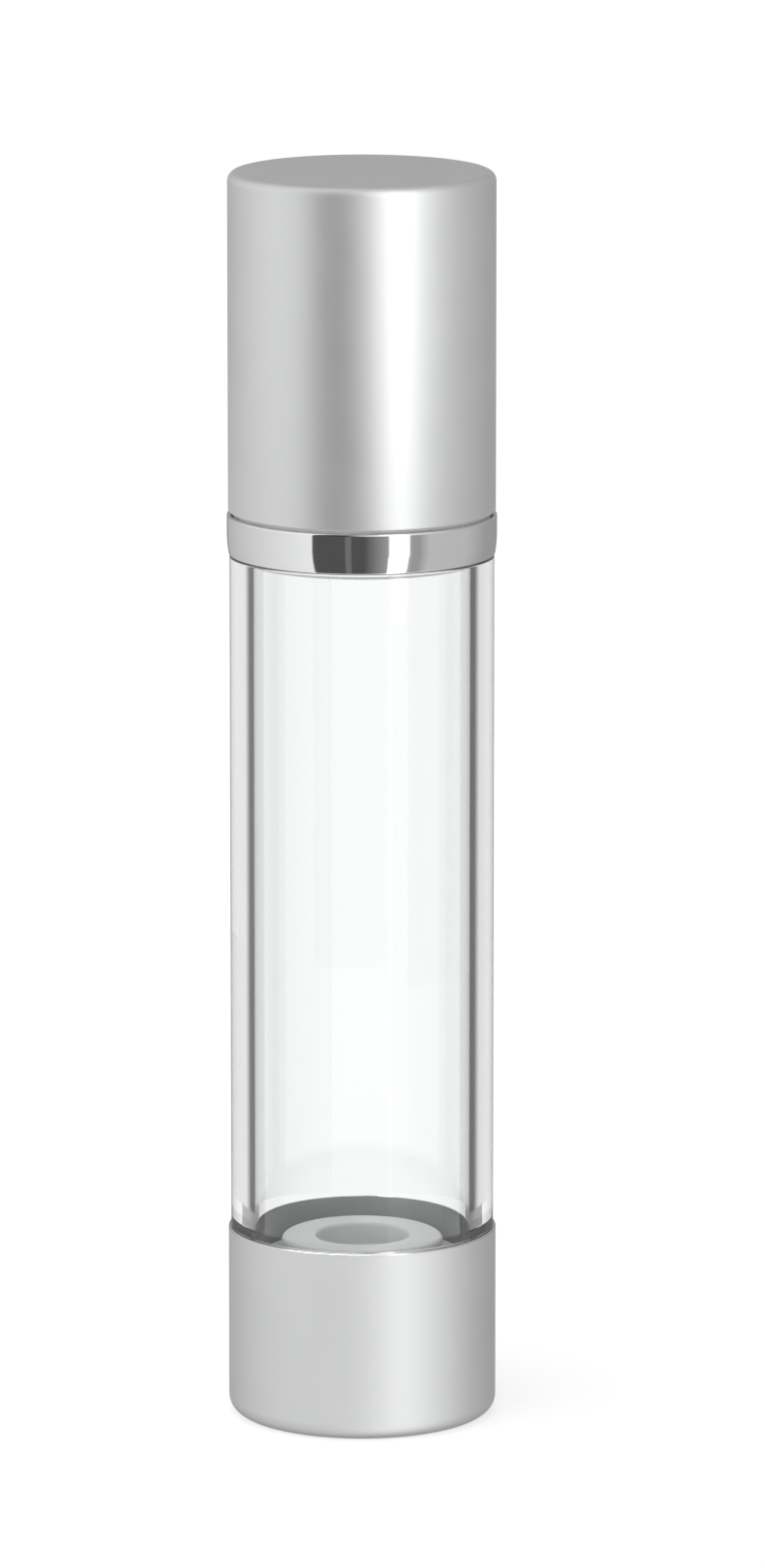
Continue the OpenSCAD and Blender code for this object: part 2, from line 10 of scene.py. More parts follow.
import bpy
from bpy.props import FloatProperty, FloatVectorProperty, IntProperty, PointerProperty
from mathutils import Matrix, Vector

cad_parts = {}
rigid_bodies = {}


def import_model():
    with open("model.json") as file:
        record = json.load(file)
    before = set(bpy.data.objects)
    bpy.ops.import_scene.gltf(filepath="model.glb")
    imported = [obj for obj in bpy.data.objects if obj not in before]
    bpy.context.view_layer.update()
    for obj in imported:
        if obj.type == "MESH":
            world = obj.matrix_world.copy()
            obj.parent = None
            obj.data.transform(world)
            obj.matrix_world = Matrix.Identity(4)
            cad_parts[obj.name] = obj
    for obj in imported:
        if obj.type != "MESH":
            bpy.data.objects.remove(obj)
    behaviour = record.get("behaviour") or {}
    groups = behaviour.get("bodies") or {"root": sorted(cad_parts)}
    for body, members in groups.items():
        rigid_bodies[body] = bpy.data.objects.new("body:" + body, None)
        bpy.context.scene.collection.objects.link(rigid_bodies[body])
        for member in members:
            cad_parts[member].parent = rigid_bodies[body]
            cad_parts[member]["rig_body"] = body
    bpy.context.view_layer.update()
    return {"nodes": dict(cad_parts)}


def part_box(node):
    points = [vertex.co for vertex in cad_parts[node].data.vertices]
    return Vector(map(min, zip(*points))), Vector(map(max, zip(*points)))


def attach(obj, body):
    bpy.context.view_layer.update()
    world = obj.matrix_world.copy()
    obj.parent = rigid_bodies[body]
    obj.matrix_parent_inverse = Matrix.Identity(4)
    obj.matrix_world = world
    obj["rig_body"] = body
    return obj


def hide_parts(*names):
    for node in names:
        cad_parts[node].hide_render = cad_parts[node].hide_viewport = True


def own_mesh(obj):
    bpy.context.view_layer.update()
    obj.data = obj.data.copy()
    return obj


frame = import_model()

bl_info = {
    "name": "Airless Pump Bottle",
    "version": (1, 0, 0),
    "blender": (4, 5, 0),
    "location": "3D View > Sidebar > Bottle",
    "description": "Builds the shells, the clear body, the spring, the finishes and the studio",
    "category": "Object",
}

MM = 0.001

# The studio's own sizes, in metres.
FLOOR_SIZE = 24
PANEL_FOOT = -0.3
LYING_PANEL_INSIDE = 0.02
PANEL_STEP = 3  # degrees from one edge of a curved panel to the next
LOW_CARD_TOP = 0.035
OVERHEAD_SIZE = (0.6, 4.0)
OVERHEAD_PLACE = (0, 1.0, 0.8)
CAMERA_CLIP = (0.05, 50)
SENSOR_WIDTH = 36  # millimetres

# Light of the walls and of the table round the bottle, as (degrees, light) by the direction from the
# bottle: 0 is towards the camera, and the right is positive.
WALL_GLOW = (
    (-180, 0.32), (-154, 0.38), (-125, 0.7), (-99, 0.88), (-71, 1.0), (-45, 1.0), (60, 0.49), (130, 0.4),
    (180, 0.32))
TABLE_GLOW = (
    (-180, 0.28), (-150, 0.33), (-110, 0.61), (-55, 0.7), (-28, 0.68), (-5, 0.76), (25, 0.84), (38, 0.4),
    (54, 0.4), (60, 0.52), (100, 0.5), (130, 0.34), (180, 0.3))
# Sines of the heights between which the table gives way to the walls, and the walls to the ceiling.
HORIZON = (-0.06, 0.06)
CEILING_EDGE = (0.8, 0.98)
CEILING_GREY = (0.55, 0.55, 0.55, 1)


def low(node):
    """Height of a node's lowest point."""
    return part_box(node)[0].z


def top(node):
    """Height of a node's highest point."""
    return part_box(node)[1].z


def reach(node):
    """Outside radius of a round node."""
    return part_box(node)[1].x


class BottleSizes(bpy.types.PropertyGroup):
    """Sizes of the modelled shells that the frame's boxes do not give."""

    cap_wall: FloatProperty(
        name="Cap Wall", description="Wall of the cap's metal sleeve",
        default=0.5 * MM, min=0.3 * MM, max=1 * MM, unit="LENGTH")
    cap_fillet: FloatProperty(
        name="Cap Fillet", description="Rounding of the cap's top edge",
        default=1.2 * MM, min=0.6 * MM, max=2 * MM, unit="LENGTH")
    collar_wall: FloatProperty(
        name="Collar Wall", description="Wall of the polished collar",
        default=0.5 * MM, min=0.3 * MM, max=0.8 * MM, unit="LENGTH")
    collar_bow: FloatProperty(
        name="Collar Bow", description="Radius of the bow on the collar's lower side",
        default=16 * MM, min=10 * MM, max=16.5 * MM, unit="LENGTH")
    base_wall: FloatProperty(
        name="Base Wall", description="Wall of the drawn metal base",
        default=0.45 * MM, min=0.3 * MM, max=0.8 * MM, unit="LENGTH")
    base_fillet: FloatProperty(
        name="Base Fillet", description="Rounding between the base's side and its underside",
        default=2.2 * MM, min=1 * MM, max=3 * MM, unit="LENGTH")
    vent: FloatProperty(
        name="Air Hole", description="Diameter of the air hole under the base",
        default=2 * MM, min=1 * MM, max=3 * MM, unit="LENGTH")
    neck_wall: FloatProperty(
        name="Neck Wall", description="Wall of the clear body's neck",
        default=1.1 * MM, min=0.9 * MM, max=1.3 * MM, unit="LENGTH")
    foot_wall: FloatProperty(
        name="Foot Wall", description="Wall of the clear body's foot inside the base",
        default=2.7 * MM, min=2 * MM, max=3 * MM, unit="LENGTH")
    follower_wall: FloatProperty(
        name="Follower Wall", description="Wall of the follower piston",
        default=1.1 * MM, min=0.8 * MM, max=1.4 * MM, unit="LENGTH")
    wire: FloatProperty(
        name="Spring Wire", description="Diameter of the spring's wire",
        default=0.7 * MM, min=0.5 * MM, max=0.8 * MM, unit="LENGTH")
    spring_turns: IntProperty(
        name="Spring Turns", description="Number of turns of the spring", default=6, min=4, max=7)
    facets: IntProperty(
        name="Facets", description="Sides of each turned piece", default=256, min=64, max=512)


class BottleFinish(bpy.types.PropertyGroup):
    """Colours and gloss of the materials."""

    satin: FloatVectorProperty(
        name="Satin Metal", description="Colour of the satin anodised metal",
        subtype="COLOR", size=3, min=0, max=1, default=(0.80, 0.805, 0.81))
    # Darker metal colour for the base's inside: painted shade of the cup's recess.
    inside_painted_shade: FloatVectorProperty(
        name="Inside Metal Painted Shade", description="Colour of the metal's plain inside",
        subtype="COLOR", size=3, min=0, max=1, default=(0.42, 0.425, 0.43))
    raw_roughness: FloatProperty(
        name="Raw Roughness", description="Spread of the reflection in the metal's plain inside",
        subtype="FACTOR", default=0.45, min=0.1, max=0.8)
    satin_roughness: FloatProperty(
        name="Satin Roughness", description="Spread of the reflection in the satin metal",
        subtype="FACTOR", default=0.5, min=0.1, max=0.8)
    edge_roughness: FloatProperty(
        name="Edge Roughness", description="Spread of the reflection in the base's cut edge",
        subtype="FACTOR", default=0.16, min=0, max=0.5)
    polished: FloatVectorProperty(
        name="Polished Metal", description="Colour of the polished collar",
        subtype="COLOR", size=3, min=0, max=1, default=(0.90, 0.905, 0.91))
    polished_roughness: FloatProperty(
        name="Polished Roughness", description="Spread of the reflection in the polished collar",
        subtype="FACTOR", default=0.06, min=0, max=0.3)
    clear: FloatVectorProperty(
        name="Clear Plastic", description="Tint of the clear body",
        subtype="COLOR", size=3, min=0, max=1, default=(0.968, 0.973, 0.975))
    clear_ior: FloatProperty(
        name="Clear IOR", description="Refractive index of the clear body", default=1.49, min=1.3, max=1.7)
    milky: FloatVectorProperty(
        name="Milky Plastic", description="Colour of the natural, slightly see-through plastic",
        subtype="COLOR", size=3, min=0, max=1, default=(0.57, 0.575, 0.575))
    white: FloatVectorProperty(
        name="White Plastic", description="Colour of the white moulded plastic",
        subtype="COLOR", size=3, min=0, max=1, default=(0.86, 0.86, 0.85))
    seal: FloatVectorProperty(
        name="Seal", description="Colour of the soft seal",
        subtype="COLOR", size=3, min=0, max=1, default=(0.42, 0.44, 0.46))
    steel: FloatVectorProperty(
        name="Steel", description="Colour of the ball and the spring",
        subtype="COLOR", size=3, min=0, max=1, default=(0.56, 0.57, 0.58))


class BottleStudio(bpy.types.PropertyGroup):
    """Camera, floor and light."""

    distance: FloatProperty(
        name="Camera Distance", description="From the bottle's axis",
        default=1.25, min=0.5, max=4, unit="LENGTH")
    elevation: FloatProperty(
        name="Camera Elevation", description="Above the horizon",
        default=math.radians(11.0), min=0, max=1.5, subtype="ANGLE")
    lens: FloatProperty(
        name="Lens", description="Focal length in millimetres",
        default=230.6, min=50, max=600)
    aim_height: FloatProperty(
        name="Aim Height", description="Height that the camera looks at",
        default=80.15 * MM, min=0, unit="LENGTH")
    aim_side: FloatProperty(
        name="Aim Side", description="How far right of the axis the camera looks",
        default=2.55 * MM, unit="LENGTH")
    panel_distance: FloatProperty(
        name="Panel Distance", description="From the axis to the standing panels",
        default=0.12, min=0.1, unit="LENGTH")
    panel_height: FloatProperty(
        name="Panel Height", description="Height of the standing panels",
        default=0.4, min=0.1, unit="LENGTH")
    card_foot: FloatProperty(
        name="Card Foot", description="Height of the dark card's lower edge",
        default=0.038, unit="LENGTH")
    strip_foot: FloatProperty(
        name="Strip Foot", description="Height where the strip lamp grows bright",
        default=0.085, unit="LENGTH")
    card_top: FloatProperty(
        name="Card Top", description="Height where the dark card gives way to a lighter one",
        default=0.105, unit="LENGTH")
    upper_glow: FloatProperty(
        name="Upper Glow", description="Light off the card above", default=0.03, min=0)
    card_glow: FloatProperty(
        name="Card Glow", description="Light off the dark card", default=0.083, min=0)
    floor_glow: FloatProperty(
        name="Floor Glow", description="Light that the floor gives itself", default=0.47, min=0)
    strip_glow: FloatProperty(
        name="Strip Glow", description="Light of the strip lamp", default=4.3, min=0)
    low_strip_glow: FloatProperty(
        name="Low Strip Glow", description="Light of the strip lamp's lower part", default=1.45, min=0)
    overhead: FloatProperty(
        name="Overhead", description="Power of the lamp above, in watts", default=3, min=0)


def settings():
    """The three groups of settings."""
    scene = bpy.context.scene
    return scene.bottle_sizes, scene.bottle_finish, scene.bottle_studio


def start_clean():
    """Leaves object mode with nothing selected."""
    if bpy.context.mode != "OBJECT":
        bpy.ops.object.mode_set(mode="OBJECT")
    bpy.ops.object.select_all(action="DESELECT")


def pick_vertex(mesh, place):
    """Selects only the vertex nearest to a place, from object mode."""
    nearest = min(mesh.vertices, key=lambda v: (v.co - place).length)
    for vertex in mesh.vertices:
        vertex.select = vertex == nearest
    for edge in mesh.edges:
        edge.select = False


def draw_outline(name, corners, closed):
    """Draws straight runs from corner to corner: (radius, height, length that its round cuts off)."""
    start_clean()
    first = Vector((corners[0][0], 0, corners[0][1]))
    bpy.ops.mesh.primitive_plane_add(size=MM, location=first)
    piece = bpy.context.object
    piece.name = name
    piece.data.name = name
    bpy.ops.object.transform_apply(location=True, rotation=True, scale=True)
    bpy.ops.object.mode_set(mode="EDIT")
    bpy.ops.mesh.select_mode(type="VERT")
    bpy.ops.mesh.select_all(action="SELECT")
    bpy.ops.mesh.merge(type="CENTER")
    here = first
    for radius, height, _ in corners[1:]:
        there = Vector((radius, 0, height))
        bpy.ops.mesh.extrude_region_move(TRANSFORM_OT_translate={"value": there - here})
        here = there
    if closed:
        bpy.ops.object.mode_set(mode="OBJECT")
        pick_vertex(piece.data, first)
        last = min(piece.data.vertices, key=lambda v: (v.co - here).length)
        last.select = True
        bpy.ops.object.mode_set(mode="EDIT")
        bpy.ops.mesh.edge_face_add()
    bpy.ops.object.mode_set(mode="OBJECT")
    return piece


def round_corners(piece, corners, steps=6):
    """Rounds each corner of an outline that has a round."""
    for radius, height, cut in corners:
        if cut > 0:
            pick_vertex(piece.data, Vector((radius, 0, height)))
            bpy.ops.object.mode_set(mode="EDIT")
            bpy.ops.mesh.bevel(offset=cut, offset_type="OFFSET", segments=steps, affect="VERTICES")
            bpy.ops.object.mode_set(mode="OBJECT")


def turn(name, corners, closed=True, steps=6, smooth=30):
    """Turns an outline about the bottle's axis into one closed piece."""
    sizes = settings()[0]
    piece = draw_outline(name, corners, closed)
    round_corners(piece, corners, steps)
    bpy.ops.object.mode_set(mode="EDIT")
    bpy.ops.mesh.select_all(action="SELECT")
    bpy.ops.mesh.spin(steps=sizes.facets, angle=2 * math.pi, center=(0, 0, 0), axis=(0, 0, 1))
    bpy.ops.mesh.select_all(action="SELECT")
    bpy.ops.mesh.remove_doubles(threshold=MM / 1000)
    bpy.ops.mesh.normals_make_consistent(inside=False)
    bpy.ops.object.mode_set(mode="OBJECT")
    bpy.ops.object.shade_smooth_by_angle(angle=math.radians(smooth))
    even = piece.modifiers.new("Even Normals", "WEIGHTED_NORMAL")
    even.weight = 100
    even.keep_sharp = True
    bpy.ops.object.modifier_apply(modifier=even.name)
    return piece


def settle(piece, node, material):
    """Puts a finished piece in the place of its node."""
    piece.data.materials.clear()
    piece.data.materials.append(material)
    body = frame["nodes"][node]["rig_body"]
    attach(piece, body)
    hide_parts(node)
    return piece


def coat(node, material):
    """Gives a node that keeps its mesh another finish."""
    mesh = frame["nodes"][node].data
    mesh.materials.clear()
    mesh.materials.append(material)


def group_socket(group, name, direction, kind, value=None):
    """Adds a socket to a node group."""
    socket = group.interface.new_socket(name=name, in_out=direction, socket_type=kind)
    if value is not None:
        socket.default_value = value
    return socket


def math_node(nodes, operation, *values):
    """Adds a Math node with plain values where they are given."""
    node = nodes.new("ShaderNodeMath")
    node.operation = operation
    for index, value in enumerate(values):
        if value is not None:
            node.inputs[index].default_value = value
    return node


def map_range(nodes, links, value, start, end, to_start=0.0, to_end=1.0):
    """Maps a value from one range to another and holds it inside."""
    node = nodes.new("ShaderNodeMapRange")
    numbers = {"From Min": start, "From Max": end, "To Min": to_start, "To Max": to_end}
    for socket, number in numbers.items():
        node.inputs[socket].default_value = number
    links.new(value, node.inputs["Value"])
    return node.outputs["Result"]


def blend_colour(nodes, links, factor, first, second):
    """Blends from the first colour to the second, each a plain colour or a socket."""
    blend = nodes.new("ShaderNodeMix")
    blend.data_type = "RGBA"
    links.new(factor, blend.inputs["Factor"])
    for socket, colour in (("A", first), ("B", second)):
        if isinstance(colour, tuple):
            blend.inputs[socket].default_value = colour
        else:
            links.new(colour, blend.inputs[socket])
    return blend.outputs["Result"]


def fine_grain():
    """Group of fine grain: an even or drawn-out grain height, and a slow mottle from 0 to 1."""
    found = bpy.data.node_groups.get("Fine Grain")
    if found:
        return found
    group = bpy.data.node_groups.new("Fine Grain", "ShaderNodeTree")
    group_socket(group, "Grain Size", "INPUT", "NodeSocketFloat", 0.2 * MM)
    group_socket(group, "Draw", "INPUT", "NodeSocketFloat", 1.0)
    group_socket(group, "Mottle Size", "INPUT", "NodeSocketFloat", 6 * MM)
    group_socket(group, "Height", "OUTPUT", "NodeSocketFloat")
    group_socket(group, "Mottle", "OUTPUT", "NodeSocketFloat")
    nodes, links = group.nodes, group.links
    entry = nodes.new("NodeGroupInput")
    leave = nodes.new("NodeGroupOutput")
    place = nodes.new("ShaderNodeTexCoord")
    squeeze = nodes.new("ShaderNodeCombineXYZ")
    squeeze.inputs["X"].default_value = 1
    squeeze.inputs["Y"].default_value = 1
    shrink = math_node(nodes, "DIVIDE", 1.0, None)
    stretched = nodes.new("ShaderNodeVectorMath")
    stretched.operation = "MULTIPLY"
    per_grain = math_node(nodes, "DIVIDE", 1.0, None)
    per_mottle = math_node(nodes, "DIVIDE", 1.0, None)
    grain = nodes.new("ShaderNodeTexNoise")
    grain.inputs["Detail"].default_value = 3
    mottle = nodes.new("ShaderNodeTexNoise")
    mottle.inputs["Detail"].default_value = 4
    links.new(entry.outputs["Draw"], shrink.inputs[1])
    links.new(shrink.outputs[0], squeeze.inputs["Z"])
    links.new(place.outputs["Object"], stretched.inputs[0])
    links.new(squeeze.outputs[0], stretched.inputs[1])
    links.new(entry.outputs["Grain Size"], per_grain.inputs[1])
    links.new(entry.outputs["Mottle Size"], per_mottle.inputs[1])
    links.new(stretched.outputs[0], grain.inputs["Vector"])
    links.new(per_grain.outputs[0], grain.inputs["Scale"])
    links.new(place.outputs["Object"], mottle.inputs["Vector"])
    links.new(per_mottle.outputs[0], mottle.inputs["Scale"])
    links.new(grain.outputs["Fac"], leave.inputs["Height"])
    links.new(mottle.outputs["Fac"], leave.inputs["Mottle"])
    return group


def finish(name, colour, roughness, grain, draw=1.0, depth=2e-6, spread=0.05, shade=0.03,
           mottle=6 * MM, **plain):
    """A material with fine grain: depth of the grain, and how far it spreads the roughness and the shade."""
    found = bpy.data.materials.get(name)
    if found:
        return found
    material = bpy.data.materials.new(name)
    material.use_nodes = True
    nodes, links = material.node_tree.nodes, material.node_tree.links
    shader = nodes["Principled BSDF"]
    for socket, value in plain.items():
        shader.inputs[socket.replace("_", " ")].default_value = value
    grains = nodes.new("ShaderNodeGroup")
    grains.node_tree = fine_grain()
    grains.inputs["Grain Size"].default_value = grain
    grains.inputs["Draw"].default_value = draw
    grains.inputs["Mottle Size"].default_value = mottle
    uneven = grains.outputs["Mottle"]
    rough = map_range(nodes, links, uneven, 0, 1, roughness - spread, roughness + spread)
    darker = (*[c * (1 - shade) for c in colour], 1)
    lighter = (*[min(1, c * (1 + shade)) for c in colour], 1)
    tint = blend_colour(nodes, links, uneven, darker, lighter)
    bump = nodes.new("ShaderNodeBump")
    bump.inputs["Strength"].default_value = 1
    bump.inputs["Distance"].default_value = depth
    links.new(rough, shader.inputs["Roughness"])
    links.new(tint, shader.inputs["Base Color"])
    links.new(grains.outputs["Height"], bump.inputs["Height"])
    links.new(bump.outputs["Normal"], shader.inputs["Normal"])
    return material


def satin_metal(name="satin aluminium"):
    """Satin anodised aluminium, with faint lines along the draw."""
    look = settings()[1]
    return finish(name, look.satin, look.satin_roughness, grain=0.12 * MM, draw=12,
                  depth=1.2e-6, spread=0.03, shade=0.015, Metallic=1)


def cut_edge_metal(height):
    """Satin metal whose cut edge, above a height, is bright."""
    material = satin_metal("satin aluminium, bright edge")
    nodes, links = material.node_tree.nodes, material.node_tree.links
    shader = nodes["Principled BSDF"]
    satin = shader.inputs["Roughness"].links[0].from_socket
    place = nodes.new("ShaderNodeTexCoord")
    split = nodes.new("ShaderNodeSeparateXYZ")
    above = math_node(nodes, "GREATER_THAN", None, height)
    rough = nodes.new("ShaderNodeMix")
    rough.inputs["B"].default_value = settings()[1].edge_roughness
    links.new(place.outputs["Object"], split.inputs[0])
    links.new(split.outputs["Z"], above.inputs[0])
    links.new(above.outputs[0], rough.inputs["Factor"])
    links.new(satin, rough.inputs["A"])
    links.new(rough.outputs["Result"], shader.inputs["Roughness"])
    return material


def turned_metal_painted_shade():
    """Metal of the base's inside, its colour darkened as painted shade of the recess, with fine turning
    lines.
    """
    look = settings()[1]
    return finish("turned aluminium", look.inside_painted_shade, look.raw_roughness, grain=0.15 * MM, draw=0.1,
                  depth=1.5e-6, spread=0.03, shade=0.03,
                  Metallic=1, Anisotropic=0.9, Anisotropic_Rotation=0.25)


def polished_metal():
    """Polished aluminium of the collar."""
    look = settings()[1]
    return finish("polished aluminium", look.polished, look.polished_roughness, grain=0.5 * MM,
                  depth=2e-7, spread=0.02, shade=0.01, Metallic=1)


def clear_plastic():
    """Clear moulded plastic of the body."""
    look = settings()[1]
    return finish("clear plastic", look.clear, 0.012, grain=3 * MM, draw=8, depth=4e-7, spread=0.01,
                  shade=0.004, mottle=15 * MM, Transmission_Weight=1, IOR=look.clear_ior)


def milky_plastic():
    """Natural plastic of the pistons and the pump chamber, which light goes into."""
    look = settings()[1]
    return finish("milky plastic", look.milky, 0.38, grain=0.3 * MM, depth=3e-6, spread=0.06, shade=0.03,
                  Subsurface_Weight=0.35, Subsurface_Radius=(1.0, 1.0, 1.0),
                  Subsurface_Scale=1.2 * MM, IOR=1.5)


def white_plastic():
    """White moulded plastic."""
    look = settings()[1]
    return finish("white plastic", look.white, 0.34, grain=0.25 * MM, depth=3e-6, spread=0.06, shade=0.02,
                  Subsurface_Weight=0.15, Subsurface_Radius=(1.0, 1.0, 1.0),
                  Subsurface_Scale=0.8 * MM, IOR=1.49)


def seal_rubber():
    """Soft grey seal."""
    look = settings()[1]
    return finish("seal", look.seal, 0.62, grain=0.2 * MM, depth=6e-6, spread=0.06, shade=0.06, IOR=1.5)


def bright_steel():
    """Stainless steel of the ball and the spring."""
    look = settings()[1]
    return finish("steel", look.steel, 0.22, grain=0.15 * MM, draw=1, depth=6e-7, spread=0.05, shade=0.05,
                  Metallic=1)


class BOTTLE_OT_cap_sleeve(bpy.types.Operator):
    """Turn the cap's metal sleeve."""

    bl_idname = "bottle.cap_sleeve"
    bl_label = "Cap Sleeve"
    bl_options = {"REGISTER", "UNDO"}

    def execute(self, context):
        sizes = settings()[0]
        r, foot, head = reach("cap_shell"), low("cap_shell"), top("cap_shell")
        wall, lip = sizes.cap_wall, sizes.cap_wall / 3
        bore = r - wall
        corners = [
            (0, head, 0),
            (r, head, sizes.cap_fillet),
            (r, foot, lip),
            (bore, foot, 0),
            (bore, head - wall, sizes.cap_fillet - wall),
            (0, head - wall, 0),
        ]
        piece = turn("cap_sleeve", corners, closed=False, steps=10)
        settle(piece, "cap_shell", satin_metal())
        return {"FINISHED"}


class BOTTLE_OT_collar_ring(bpy.types.Operator):
    """Turn the polished collar, straight above and bowed in below."""

    bl_idname = "bottle.collar_ring"
    bl_label = "Collar Ring"
    bl_options = {"REGISTER", "UNDO"}

    def execute(self, context):
        sizes = settings()[0]
        r, foot, head = reach("collar_shell"), low("collar_shell"), top("collar_shell")
        wall, bow = sizes.collar_wall, sizes.collar_bow
        waist = foot + 0.55 * (head - foot)
        foot_round = 0.15 * MM
        bow_steps = 8

        def bowed(inset, height):
            return r - bow + math.sqrt((bow - inset) ** 2 - (waist - height) ** 2)

        drop = (waist - foot) / bow_steps
        outside = [(bowed(0, waist - i * drop), waist - i * drop, 0) for i in range(bow_steps)]
        inside = [(bowed(wall, waist - i * drop), waist - i * drop, 0) for i in range(bow_steps + 1)]
        corners = [
            (r, head, wall / 2),
            *outside,
            (bowed(0, foot), foot, foot_round),
            *reversed(inside),
            (r - wall, head, 0),
        ]
        piece = turn("collar_ring", corners, steps=8, smooth=40)
        settle(piece, "collar_shell", polished_metal())
        return {"FINISHED"}


class BOTTLE_OT_base_cup(bpy.types.Operator):
    """Turn the drawn metal base with its air hole."""

    bl_idname = "bottle.base_cup"
    bl_label = "Base Cup"
    bl_options = {"REGISTER", "UNDO"}

    def execute(self, context):
        sizes = settings()[0]
        r, foot, head = reach("base_shell"), low("base_shell"), top("base_shell")
        wall, hole = sizes.base_wall, sizes.vent / 2
        hole_round = 0.1 * MM
        corners = [
            (hole, foot, hole_round),
            (r, foot, sizes.base_fillet),
            (r, head, wall / 2),
            (r - wall, head, 0),
            (r - wall, foot + wall, sizes.base_fillet - wall),
            (hole, foot + wall, 0),
        ]
        piece = turn("base_cup", corners, steps=12)
        settle(piece, "base_shell", cut_edge_metal(head - wall / 2))
        piece.data.materials.append(turned_metal_painted_shade())
        # Faces inside the cup above its fillet take the darker metal, which is painted shade of the recess.
        painted_shade_radius = r - 0.8 * wall
        for face in piece.data.polygons:
            if face.center.z > sizes.base_fillet and face.center.xy.length < painted_shade_radius:
                face.material_index = 1
        return {"FINISHED"}


class BOTTLE_OT_clear_body(bpy.types.Operator):
    """Turn the clear body, open at both ends."""

    bl_idname = "bottle.clear_body"
    bl_label = "Clear Body"
    bl_options = {"REGISTER", "UNDO"}

    def execute(self, context):
        sizes = settings()[0]
        r, foot, head = reach("bottle_body"), low("bottle_body"), top("bottle_body")
        running_gap, rim_gap, collar_gap = 0.05 * MM, 0.03 * MM, 0.06 * MM
        groove_depth, hook_height, round_edge = 0.35 * MM, 1.05 * MM, 0.25 * MM
        bore = reach("follower_piston") + running_gap
        neck = bore + sizes.neck_wall
        foot_r = bore + sizes.foot_wall
        step = top("base_shell") + rim_gap
        shoulder = low("collar_shell") - collar_gap
        waist, waist_top = neck - groove_depth, low("collar_core") + hook_height
        corners = [
            (bore, foot, round_edge),
            (foot_r, foot, 0),
            (foot_r, step, 0),
            (r, step, 0.8 * (r - foot_r)),
            (r, shoulder, round_edge),
            (waist, shoulder, 0),
            (waist, waist_top, 0),
            (neck, waist_top, 0),
            (neck, head, round_edge),
            (bore, head, round_edge),
        ]
        piece = turn("clear_body", corners, steps=6)
        settle(piece, "bottle_body", clear_plastic())
        piece.visible_shadow = False
        return {"FINISHED"}


class BOTTLE_OT_follower(bpy.types.Operator):
    """Turn the follower piston with its dished crown and its two lips."""

    bl_idname = "bottle.follower"
    bl_label = "Follower Piston"
    bl_options = {"REGISTER", "UNDO"}

    def execute(self, context):
        wall = settings()[0].follower_wall
        lip, foot, crown = reach("follower_piston"), low("follower_piston"), top("follower_piston")
        crown_r, dish_r, dish = 10.1 * MM, 5.8 * MM, 3 * MM
        lip_top, lip_h = crown - 2.75 * MM, 0.9 * MM
        sleeve = lip - 0.55 * MM
        inner = sleeve - wall
        moat = lip_top - 1.6 * MM
        under = crown - wall
        corners = [
            (0, crown - dish, 0),
            (dish_r, crown - dish, 0.5 * MM),
            (dish_r, crown, 0.4 * MM),
            (crown_r, crown, 0.5 * MM),
            (crown_r, moat, 0.3 * MM),
            (inner + wall / 2, moat, 0.2 * MM),
            (lip - 0.3 * MM, lip_top, 0.05 * MM),
            (lip, lip_top, 0.05 * MM),
            (lip, lip_top - lip_h / 2, 0.1 * MM),
            (sleeve, lip_top - 2 * lip_h, 0.1 * MM),
            (sleeve, foot + 2 * lip_h, 0.1 * MM),
            (lip, foot + lip_h / 2, 0.1 * MM),
            (lip, foot, 0.05 * MM),
            (inner, foot, 0.1 * MM),
            (inner, moat - wall, 0.3 * MM),
            (crown_r - wall, moat - wall, 0.2 * MM),
            (crown_r - wall, under, 0.3 * MM),
            (dish_r + wall, under, 0.3 * MM),
            (dish_r + wall, under - dish, 0.3 * MM),
            (0, under - dish, 0),
        ]
        piece = turn("follower", corners, closed=False, steps=5, smooth=35)
        settle(piece, "follower_piston", milky_plastic())
        return {"FINISHED"}


class BOTTLE_OT_return_spring(bpy.types.Operator):
    """Wind the return spring at the length that the model gives it."""

    bl_idname = "bottle.return_spring"
    bl_label = "Return Spring"
    bl_options = {"REGISTER", "UNDO"}

    def execute(self, context):
        sizes = settings()[0]
        wire = sizes.wire / 2
        seat, end = low("return_spring"), top("return_spring")
        coil_r = reach("return_spring") - wire
        rise = (end - seat - 2 * wire) / sizes.spring_turns
        start_clean()
        bpy.ops.mesh.primitive_circle_add(
            vertices=16, radius=wire, fill_type="NOTHING",
            location=(coil_r, 0, seat + wire), rotation=(math.pi / 2, 0, 0))
        piece = bpy.context.object
        piece.name = piece.data.name = "spring_wire"
        bpy.ops.object.transform_apply(location=True, rotation=True, scale=True)
        coil = piece.modifiers.new("Coil", "SCREW")
        coil.angle = 2 * math.pi
        coil.screw_offset = rise
        coil.iterations = sizes.spring_turns
        coil.steps = coil.render_steps = 48
        bpy.ops.object.modifier_apply(modifier=coil.name)
        bpy.ops.object.mode_set(mode="EDIT")
        bpy.ops.mesh.select_mode(type="EDGE")
        bpy.ops.mesh.select_all(action="DESELECT")
        bpy.ops.mesh.select_non_manifold()
        bpy.ops.mesh.fill_holes(sides=0)
        bpy.ops.mesh.select_all(action="SELECT")
        bpy.ops.mesh.normals_make_consistent(inside=False)
        bpy.ops.object.mode_set(mode="OBJECT")
        bpy.ops.object.shade_smooth_by_angle(angle=math.radians(40))
        settle(piece, "return_spring", bright_steel())
        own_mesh(piece)
        return {"FINISHED"}


class BOTTLE_OT_pump_head(bpy.types.Operator):
    """Finish the head that the finger presses."""

    bl_idname = "bottle.pump_head"
    bl_label = "Pump Head"
    bl_options = {"REGISTER", "UNDO"}

    def execute(self, context):
        coat("actuator_shell", satin_metal())
        coat("actuator_button", white_plastic())
        coat("nozzle_insert", white_plastic())
        return {"FINISHED"}


